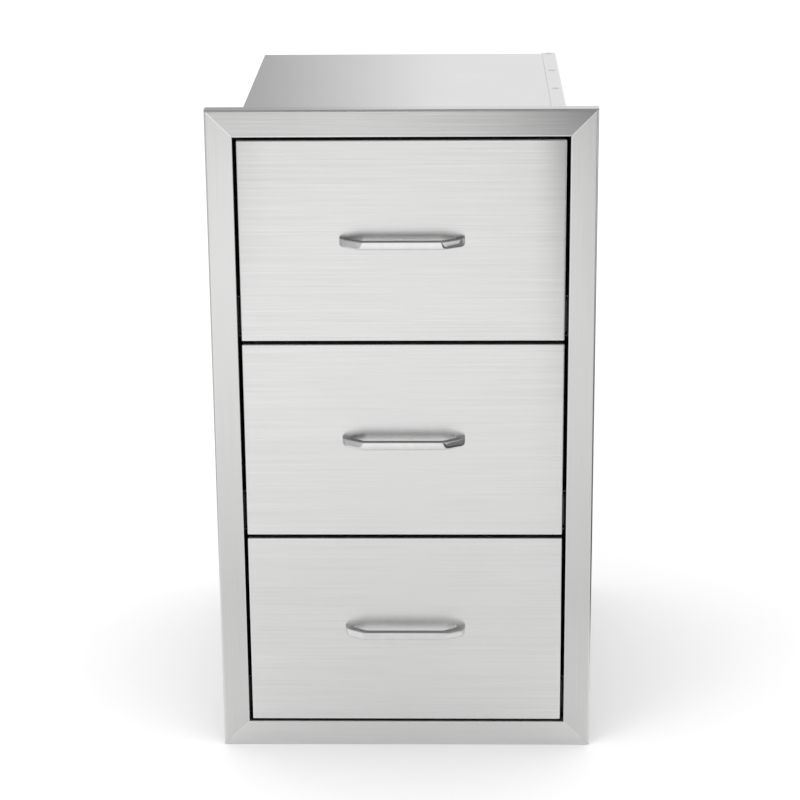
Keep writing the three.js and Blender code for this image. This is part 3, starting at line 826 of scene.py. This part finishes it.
class DRAWERUNIT_OT_face_frame(bpy.types.Operator):
    """Builds the four mitred members of the face frame"""

    bl_idname = "drawer_unit.face_frame"
    bl_label = "Face frame"

    def execute(self, context):
        sizes = settings().frame
        half, middle = sizes.width / 2, sizes.height / 2
        for name, span, x, z, turn, along, finish_name in (
            ("top_rail", sizes.width, 0, sizes.height, 0.0, "X", "top_rail_steel"),
            ("bottom_rail", sizes.width, 0, 0, math.pi, "X", "bottom_rail_steel"),
            ("left_stile", sizes.height, -half, middle, -QUARTER, "Z", "stile_steel"),
            ("right_stile", sizes.height, half, middle, QUARTER, "Z", "stile_steel"),
        ):
            stand = Matrix.Translation((x, FACE_Y, z)) @ Matrix.Rotation(turn, 4, "Y")
            part = moved(frame_member(sizes, span), stand)
            make(name, [part], along + "Y", finish_name, "cabinet", "brushed_steel", "frame_" + name)
        return {"FINISHED"}


class DRAWERUNIT_OT_cabinet_body(bpy.types.Operator):
    """Builds the two folded sheets of the body, its back and the spot welds"""

    bl_idname = "drawer_unit.cabinet_body"
    bl_label = "Cabinet body"

    def execute(self, context):
        unit = settings()
        sizes, at = unit.body, Places(unit)
        half = sizes.sheet / 2
        self.folded_sheets(sizes, at, half)
        top = at.body_top - sizes.sheet - sizes.lap_gap - half
        bottom = at.body_bottom + sizes.sheet + sizes.lap_gap + half
        rear, front = at.back_face - half, at.back_face - sizes.back_flange
        line, wear = bent_line([(front, bottom), (rear, bottom), (rear, top), (front, top)],
                               sizes.bend - half, fade=0.0007)
        parts = [carried(line, wear, sizes.sheet, (-at.panel_half, at.panel_half),
                         lambda p, x: (x, FACE_Y + p.x, p.y))]
        for sign in SIDES.values():
            low, high = sorted((sign * at.panel_half, sign * (at.wall_inside - sizes.lap_gap)))
            strip = [(low, rear - half), (high, rear - half), (high, rear + half), (low, rear + half)]
            parts.append(skin([[(x, FACE_Y + y, z) for x, y in strip]
                               for z in (bottom + sizes.bend, top - sizes.bend)]))
        make("back", parts, "XZ", "milled_sheet", "cabinet", "plain_steel", "back_panel")
        return {"FINISHED"}

    def folded_sheets(self, sizes, at, half):
        """The two body sheets, alike but for their depth: the second is the first turned half round."""
        middle = (at.body_top + at.body_bottom) / 2
        panel = at.body_top - middle - half
        lap = panel + at.lap_step
        corners = [(sizes.lap_width - at.body_half, -lap), (half - at.body_half, -lap),
                   (half - at.body_half, panel), (at.panel_half, panel)]
        line, wear = bent_line(corners, sizes.bend - half, fade=0.0007)
        # The lap's free edge gets a negative wear, which darkens a narrow strip along it.
        line.insert(1, line[0] + Vector((-sizes.seam_soil, 0)))
        wear[:1] = [-1.0, 0.0]
        weld = button(sizes.weld_diameter / 2, sizes.weld_rise, WELD_SHAPE, root=0.0004, sides=20)
        weld = moved(weld, Matrix.Rotation(QUARTER, 4, "X"))
        for name, depth, turn in (("left_side_and_top", sizes.depth - sizes.back_inset, 0.0),
                                  ("right_side_and_bottom", sizes.depth, math.pi)):
            stand = Matrix.Translation((0, FACE_Y, middle)) @ Matrix.Rotation(turn, 4, "Y")
            sheet = carried(line, wear, sizes.sheet, (sizes.setback, depth), lambda p, y: (p.x, y, p.y))
            make(name, [moved(sheet, stand)], "XZ", "body_steel", "cabinet", "brushed_steel", name + "_sheet")
            x = sizes.lap_width / 2 - at.body_half + half
            spots = [(x, depth - sizes.weld_rear - i * sizes.weld_pitch, -lap - half)
                     for i in range(sizes.weld_count)]
            welds = [moved(weld, stand @ Matrix.Translation(spot)) for spot in spots]
            make(name + "_spot_welds", welds, "XZ", "weld_mark", "cabinet", "brushed_steel")


def tray(half_x, half_y, corner, line, wear, sheet, stand, steps=5):
    """A pan of sheet: its section is swept round a rounded rectangle and its floor closes the middle.
    In the section X is the way out from the rectangle and Y the height. Stand places (x, y, height)."""
    rings = []
    for p in sheet_outline(line, sheet):
        ring = rounded_rectangle(half_x + p.x, half_y + p.x, corner + p.x, steps)
        rings.append([stand(q.x, q.y, p.y) for q in ring])
    return skin(rings, wear_along=wear + wear[::-1])


class DRAWERUNIT_OT_drawer_fronts(bpy.types.Operator):
    """Builds the three drawer fronts and the liners that close them"""

    bl_idname = "drawer_unit.drawer_fronts"
    bl_label = "Drawer fronts"

    def execute(self, context):
        unit = settings()
        sizes, at = unit.front, Places(unit)
        face, half = sizes.sheet / 2, at.front_height / 2
        corners = [(-sizes.flange, face), (-face, face), (-face, sizes.depth - face),
                   (-sizes.flange, sizes.depth - face)]
        line, wear = bent_line(corners, sizes.bend - face, fade=0.0006)
        plate = rounded_rectangle(at.front_half - sizes.liner_inset, half - sizes.liner_inset, sizes.corner)
        for label, drawer, base in at.drawers():

            def stand(x, z, depth):
                return (x, FACE_Y + depth, base + half + z)

            pan = tray(at.front_half, half, sizes.corner, line, wear, sizes.sheet, stand)
            make(f"{label}_front", [pan], "XY", "front_steel", drawer, "brushed_steel", drawer + "_front")
            liner = skin([[stand(q.x, q.y, depth) for q in plate]
                          for depth in (at.liner_front, at.liner_front + sizes.liner_sheet)])
            make(f"{label}_front_liner", [liner], "XY", "milled_sheet", drawer, "plain_steel",
                 drawer + "_front_liner")
        return {"FINISHED"}


class DRAWERUNIT_OT_drawer_tubs(bpy.types.Operator):
    """Builds the three drawer tubs with their rolled rims"""

    bl_idname = "drawer_unit.drawer_tubs"
    bl_label = "Drawer tubs"

    def execute(self, context):
        unit = settings()
        sizes, at = unit.tub, Places(unit)
        half = sizes.sheet / 2
        roll, rim = half - sizes.rim_roll, sizes.height - half
        corners = [(-sizes.rim_roll, half), (-half, half), (-half, rim), (roll, rim),
                   (roll, sizes.height - sizes.rim_drop)]
        line, wear = bent_line(corners, sizes.bend, fade=0.0004)
        deep = (at.tub_rear - at.tub_front) / 2
        for label, drawer, base in at.drawers():

            def stand(x, y, height):
                return (x, FACE_Y + at.tub_front + deep + y, base + sizes.lift + height)

            tub = tray(at.tub_half, deep, sizes.corner, line, wear, sizes.sheet, stand, steps=6)
            make(f"{label}_tub", [tub], "YX", "milled_sheet", drawer, "plain_steel", drawer + "_tub")
        return {"FINISHED"}


def crowned(points, sizes, longest=0.0008):
    """A bar's section with its flats split up. Its front and back bulge, the lower half twice as much,
    and its top falls to the rear."""
    half_deep, half_tall = sizes.bar_deep / 2, sizes.bar_tall / 2
    section = []
    for p, q in zip(points, points[1:] + points[:1]):
        steps = max(1, math.ceil((q - p).length / longest))
        for i in range(steps):
            x, y = p.lerp(q, i / steps)
            bulge = sizes.bar_crown * (2 if y < 0 else 1) * (y / half_tall) ** 2
            fall = sizes.bar_fall * max(0.0, y / half_tall) * (1 - x / half_deep) / 2
            section.append(Vector((x - math.copysign(bulge, x), y - fall)))
    return section


def bow_line(sizes, foot):
    """The bow's middle line from one foot to the other, with the way out across the bar."""
    reach = sizes.projection - sizes.bar_deep / 2
    half, flat = sizes.spacing / 2, sizes.spacing / 2 - sizes.bend_length
    knee = sizes.bend_depth - reach
    corners = [(half, foot), (half, knee), (flat, -reach), (-flat, -reach), (-half, knee), (-half, foot)]
    points = bent_line(corners, sizes.bend_radius, steps=8)[0]
    runs = [(after - before).normalized() for before, after in zip(points, points[1:])]
    line = []
    for point, before, after in zip(points, runs[:1] + runs, runs + runs[-1:]):
        run = (before + after).normalized()
        line.append((point, Vector((-run.y, run.x))))
    return line


def pan_head_screw(sizes, seat):
    """A pan head screw along Y: its head bears on the seat and its shank ends in the handle's foot."""
    shank, head, tip = sizes.screw_shank / 2, sizes.screw_head / 2, -sizes.screw_bite
    taper, taper_long, edge, edge_tall = 0.0005, 0.0006, 0.0003, 0.0002
    shoulder = seat + sizes.screw_head_tall - sizes.screw_head_round
    rim = arc(head - sizes.screw_head_round, shoulder, sizes.screw_head_round, 0, QUARTER, steps=6)
    profile = [(0, tip), (shank - taper, tip), (shank, tip + taper_long), (shank, seat - 0.0004),
               (shank, seat), (head - edge, seat), (head, seat + edge_tall)]
    profile += [tuple(p) for p in rim] + [(0, seat + sizes.screw_head_tall)]
    return lathe(profile, sides=32)


def cross_cutter(sizes, seat):
    """The tapered cross that is cut in a screw's head, as two crossed wedges."""
    top = seat + sizes.screw_head_tall
    span, slot = sizes.recess_width / 2, sizes.recess_slot / 2
    parts = []
    for wide in (True, False):
        rings = []
        for y, scale in ((top - sizes.recess_deep, 0.45), (top + sizes.recess_deep, 1.5)):
            half_x, half_z = (span * scale, slot) if wide else (slot, span * scale)
            rings.append([(x * half_x, y, z * half_z) for x, z in CORNERS])
        parts.append(skin(rings))
    return parts


def cut(mesh, cutters):
    """Cuts closed skins out of a mesh, one after another."""
    body = put("blank", mesh)
    for part in cutters:
        tool = put("tool", build_mesh("tool", [part]))
        step = body.modifiers.new("cut", "BOOLEAN")
        step.operation, step.solver, step.object = "DIFFERENCE", "EXACT", tool
        bpy.context.view_layer.update()
        made = bpy.data.meshes.new_from_object(body.evaluated_get(bpy.context.evaluated_depsgraph_get()))
        body.modifiers.clear()
        body.data = made
        bpy.data.objects.remove(tool)
    bpy.data.objects.remove(body)
    return made


class DRAWERUNIT_OT_handles(bpy.types.Operator):
    """Builds the three bow handles and the screws that hold them from inside"""

    bl_idname = "drawer_unit.handles"
    bl_label = "Handles"

    def execute(self, context):
        unit = settings()
        sizes, at = unit.handle, Places(unit)
        section = rounded_rectangle(sizes.bar_deep / 2, sizes.bar_tall / 2, sizes.bar_edge,
                                    fade=0.0004, low_corner=sizes.bar_low_edge)
        section = crowned(section, sizes)
        bow = [[(point.x + out.x * p.x, point.y + out.y * p.x, p.y) for p in section]
               for point, out in bow_line(sizes, -unit.body.lap_gap)]
        seat = at.tub_front + unit.tub.sheet + unit.body.lap_gap
        screw = cut(build_mesh("screw", [pan_head_screw(sizes, seat)]), cross_cutter(sizes, seat))
        for label, drawer, base in at.drawers():
            handle, height = f"{label}_handle", base + at.front_height / 2 + sizes.rise
            bar = moved(skin(bow), Matrix.Translation((0, FACE_Y, height)))
            make(f"{label}_bow", [bar], "XY", "mirror_polish", drawer, "polished_steel", handle, sharp=50.0)
            for side, sign in SIDES.items():
                mesh = screw.copy()
                mesh.transform(Matrix.Translation((sign * sizes.spacing / 2, FACE_Y, height)))
                place(f"{label}_screw_{side}", mesh, "bright_zinc", drawer, "zinc_plate",
                      f"{handle}_screw_{side}")
        return {"FINISHED"}


def slide_sections(sizes):
    """The members of a slide as (name, section, sheet), and its cages as (name, section, height and inset
    of their balls). A section is the middle line of the sheet, X from the cabinet wall, Y from mid height."""
    lip = sizes.member_sheet / 2
    play = sizes.ball / 2 + sizes.ball_clearance
    groove, middle_groove = play + lip, play + sizes.middle_sheet / 2
    outer, inner, depth = sizes.outer_inset, sizes.inner_inset, sizes.groove_depth
    outer_height = sizes.height / 2 - lip - groove
    middle_flange = outer_height - middle_groove + depth
    inner_height = middle_flange + depth - middle_groove
    outer_cage = sizes.member_sheet + sizes.cage_gap + sizes.cage_sheet / 2
    middle_wall = outer_cage + sizes.cage_sheet / 2 + sizes.cage_gap + sizes.middle_sheet / 2
    inner_cage = middle_wall + sizes.middle_sheet / 2 + sizes.cage_gap + sizes.cage_sheet / 2
    # Half the angle that a groove spans where it leaves the flat of its flange.
    turn, middle_turn = (math.acos((radius - depth) / radius) for radius in (groove, middle_groove))

    def flat(wall, height, end, bend):
        return bent_line([(wall, 0), (wall, height), (end, height)], bend, steps=4, fade=0.0004)[0][:-1]

    def cage(wall, height, inset):
        end = inset + sizes.cage_lip
        return whole_section(flat(wall, height, end, sizes.cage_sheet) + [Vector((end, height))])

    cabinet = flat(lip, outer_height + groove - depth, outer - groove * math.sin(turn), sizes.member_bend)
    cabinet += arc(outer, outer_height, groove, QUARTER + turn, sizes.hook, steps=10)
    middle = flat(middle_wall, middle_flange, outer - middle_groove * math.sin(middle_turn),
                  sizes.middle_bend)
    middle += arc(outer, outer_height, middle_groove, -QUARTER - middle_turn, middle_turn - QUARTER, steps=6)
    middle += arc(inner, inner_height, middle_groove, QUARTER + middle_turn, sizes.hook, steps=10)
    drawer = flat(sizes.thickness - lip, inner_height - groove + depth, inner + groove * math.sin(turn),
                  sizes.member_bend)
    drawer += arc(inner, inner_height, groove, turn - QUARTER, sizes.hook - math.pi, steps=10)
    members = [("cabinet_member", whole_section(cabinet), sizes.member_sheet),
               ("intermediate_member", whole_section(middle), sizes.middle_sheet),
               ("drawer_member", whole_section(drawer), sizes.member_sheet)]
    cages = [("outer_ball_cage", cage(outer_cage, outer_height, outer), outer_height, outer),
             ("inner_ball_cage", cage(inner_cage, inner_height, inner), inner_height, inner)]
    return members, cages


def whole_section(half):
    """A half section with its mirror image below mid height."""
    upper = half[1:]
    return [Vector((p.x, -p.y)) for p in reversed(upper)] + upper


class DRAWERUNIT_OT_slides(bpy.types.Operator):
    """Builds the six telescopic slides with their ball cages and rivets"""

    bl_idname = "drawer_unit.slides"
    bl_label = "Slides"

    def execute(self, context):
        unit = settings()
        sizes, at = unit.slide, Places(unit)
        members, cages = slide_sections(sizes)
        ends = (sizes.start, sizes.start + sizes.length)
        cage_start = sizes.start + (sizes.length - sizes.cage_length) / 2
        cage_ends = (cage_start, cage_start + sizes.cage_length)
        pitch = sizes.cage_length / sizes.balls
        for label, drawer, base in at.drawers():
            for side, sign in SIDES.items():

                def stand(p, y):
                    return (sign * (at.slide_wall - p.x), FACE_Y + y, base + sizes.height / 2 + p.y)

                def rolled(line, sheet, where):
                    return carried(line, [0.0] * len(line), sheet, where, stand)

                slide = f"{label}_{side}_slide"
                for member, line, sheet in members:
                    name = f"{slide}_{member}"
                    body = {"cabinet_member": "cabinet", "intermediate_member": name + "_body",
                            "drawer_member": drawer}[member]
                    # The members' zinc carries painted shade at their front ends, in the side gap.
                    make(name + "_rolled", [rolled(line, sheet, ends)], "YZ", "greased_zinc", body,
                         "zinc_plate", name)
                for cage, line, height, inset in cages:
                    centres = [stand(Vector((inset, row * height)), cage_start + (i + 0.5) * pitch)
                               for i in range(sizes.balls) for row in (-1, 1)]
                    parts = [rolled(line, sizes.cage_sheet, cage_ends)]
                    parts += [ball(centre, sizes.ball / 2) for centre in centres]
                    name = f"{slide}_{cage}"
                    make(name + "_and_balls", parts, "YZ", "ball_steel", name + "_body", "cage_steel", name)
                rivets = self.rivets(sizes, sign, stand)
                make(slide + "_rivets", rivets, "YZ", "bright_zinc", drawer, "zinc_plate")
        return {"FINISHED"}

    def rivets(self, sizes, sign, stand):
        """Flat rivet heads on the drawer member's web, where it is fixed to the tub."""
        head = button(sizes.rivet_head / 2, sizes.rivet_rise, RIVET_SHAPE, root=0.0003, sides=24)
        web = Vector((sizes.thickness - sizes.member_sheet, 0))
        turn = Matrix.Rotation(sign * QUARTER, 4, "Z")
        run = sizes.length - 2 * sizes.rivet_margin
        spots = [stand(web, sizes.start + sizes.rivet_margin + run * i / (sizes.rivets - 1))
                 for i in range(sizes.rivets)]
        return [moved(head, Matrix.Translation(spot) @ turn) for spot in spots]


# Stage


def stepped(tree, value, stops):
    """A value read off a line through (place, value) stops."""
    first, last = stops[0][0], stops[-1][0]
    ramp = add(tree, "ShaderNodeValToRGB", {0: spread(tree, value, first, last)})
    elements = ramp.color_ramp.elements
    while len(elements) < len(stops):
        elements.new(0.5)
    for element, (spot, level) in zip(elements, stops):
        element.position = (spot - first) / (last - first)
        element.color = (level, level, level, 1.0)
    return ramp.outputs[0]


def studio_world(sizes):
    """Plain soft light all round. Metal mirrors a studio that is dark behind the camera and pale behind
    the unit, with a duller left end."""
    world = bpy.data.worlds.new("studio")
    bpy.context.scene.world = world
    world.use_nodes = True
    tree = world.node_tree
    tree.nodes.clear()
    x, y, z = split(tree, "Generated")
    pale = spread(tree, x, *sizes.behind_edge, sizes.behind * sizes.behind_left, sizes.behind)
    pale = blend_values(tree, spread(tree, z, *HIGH_UP), pale, sizes.above)
    sides = spread(tree, x, *ACROSS, sizes.left_side, sizes.right_side)
    tone = blend_values(tree, spread(tree, y, *BEHIND_UNIT), sides, pale)
    tone = blend_values(tree, spread(tree, y, *BEHIND_CAMERA), tone, stepped(tree, z, IN_FRONT))
    sight = add(tree, "ShaderNodeLightPath").outputs
    plain = blend_values(tree, sight["Is Glossy Ray"], sizes.soft_light, tone)
    shown = blend_values(tree, sight["Is Camera Ray"], plain, 1.0)
    light = add(tree, "ShaderNodeBackground", {"Color": shown})
    add(tree, "ShaderNodeOutputWorld", {"Surface": light.outputs[0]})


def floor_finish(sizes):
    """The floor's plain pale finish. Only where metal mirrors it, it carries a painted reflection: duller
    near the unit and at its sides.
    """
    tree, shader = new_finish("pale_floor", metallic=0.0)
    x, y, _ = split(tree)
    near = times(tree, spread(tree, y, *sizes.near_fade, sizes.near_floor, 1.0),
                 spread(tree, y, *sizes.foot_fade, 1.0, sizes.foot_floor))
    far_right = times(tree, spread(tree, y, *FAR_AHEAD),
                      spread(tree, x, *FAR_RIGHT, 0.0, FAR_RIGHT_TONE))
    across = sum_up(tree, "MAXIMUM", stepped(tree, x, FLOOR_ACROSS), far_right)
    across = blend_values(tree, spread(tree, y, *BESIDE_UNIT), 1.0, across)
    sight = add(tree, "ShaderNodeLightPath").outputs
    # Painted reflection: only glossy rays see the floor darkened near the unit and at its sides.
    mirrored = blend_values(tree, sight["Is Glossy Ray"], 1.0, times(tree, near, across))
    tone = blend_colours(tree, mirrored, (0.0, 0.0, 0.0), sizes.floor_tone)
    seen = blend_colours(tree, sight["Is Camera Ray"], tone, sizes.floor_seen)
    feed(tree, shader, {"Base Color": seen, "Roughness": 0.9, "Specular IOR Level": 0.0})


class DRAWERUNIT_OT_stage(bpy.types.Operator):
    """Makes the pale floor, the soft studio light and the camera at the photograph's view"""

    bl_idname = "drawer_unit.stage"
    bl_label = "Stage"

    def execute(self, context):
        sizes = settings().stage
        scene = context.scene
        scene.view_settings.view_transform = "Standard"
        studio_world(sizes)
        floor_finish(sizes)
        half = sizes.floor_size / 2
        mesh = bpy.data.meshes.new("floor")
        mesh.from_pydata([(x * half, y * half, 0) for x, y in CORNERS], [], [(0, 1, 2, 3)])
        mesh.materials.append(bpy.data.materials["pale_floor"])
        floor = put("floor", mesh)
        light = bpy.data.lights.new("lamp", "AREA")
        light.shape, light.size, light.energy = "SQUARE", sizes.lamp_size, sizes.lamp_power
        lamp = put("lamp", light)
        lamp.location = LAMP_PLACE
        lamp.visible_glossy = lamp.visible_camera = False
        self.camera(scene, sizes)
        return {"FINISHED"}

    def camera(self, scene, sizes):
        """The view of the photograph, found from the frame's straight edges."""
        lens = bpy.data.cameras.new("view")
        lens.lens, lens.sensor_width, lens.sensor_fit = sizes.lens, 36.0, "HORIZONTAL"
        lens.clip_start, lens.clip_end = 0.05, 100.0
        right = Vector((0.9996959, 0.0230616, -0.0087333))
        up = Vector((0.0010607, 0.3136106, 0.9495511))
        back = Vector((0.0246370, -0.9492716, 0.3134908))
        view = put("view", lens)
        view.matrix_world = Matrix.Translation(VIEW_PLACE) @ Matrix((right, up, back)).transposed().to_4x4()
        scene.camera = view


PIECE_OPERATORS = (
    DRAWERUNIT_OT_finishes,
    DRAWERUNIT_OT_face_frame,
    DRAWERUNIT_OT_cabinet_body,
    DRAWERUNIT_OT_drawer_fronts,
    DRAWERUNIT_OT_drawer_tubs,
    DRAWERUNIT_OT_handles,
    DRAWERUNIT_OT_slides,
    DRAWERUNIT_OT_stage,
)


class DRAWERUNIT_PT_sidebar(bpy.types.Panel):
    """Lists the drawer unit's steps and settings"""

    bl_idname = "DRAWERUNIT_PT_sidebar"
    bl_label = "Drawer Unit"
    bl_space_type = "VIEW_3D"
    bl_region_type = "UI"
    bl_category = "Drawer Unit"

    def draw(self, context):
        for step in PIECE_OPERATORS:
            self.layout.operator(step.bl_idname)
        unit = context.scene.drawer_unit
        for group_name in DrawerUnitSettings.__annotations__:
            group = getattr(unit, group_name)
            box = self.layout.box()
            box.label(text=group_name.title())
            for key in type(group).__annotations__:
                box.prop(group, key)


CLASSES = (FrameSizes, BodySizes, FrontSizes, TubSizes, HandleSizes, SlideSizes, Finishes, StageSettings,
           DrawerUnitSettings, *PIECE_OPERATORS, DRAWERUNIT_PT_sidebar)


def register():
    for cls in CLASSES:
        bpy.utils.register_class(cls)
    bpy.types.Scene.drawer_unit = PointerProperty(type=DrawerUnitSettings)


def unregister():
    del bpy.types.Scene.drawer_unit
    for cls in reversed(CLASSES):
        bpy.utils.unregister_class(cls)


def main():
    register()
    for step in PIECE_OPERATORS:
        getattr(bpy.ops.drawer_unit, step.bl_idname.split(".")[1])()


if __name__ == "__main__":
    main()
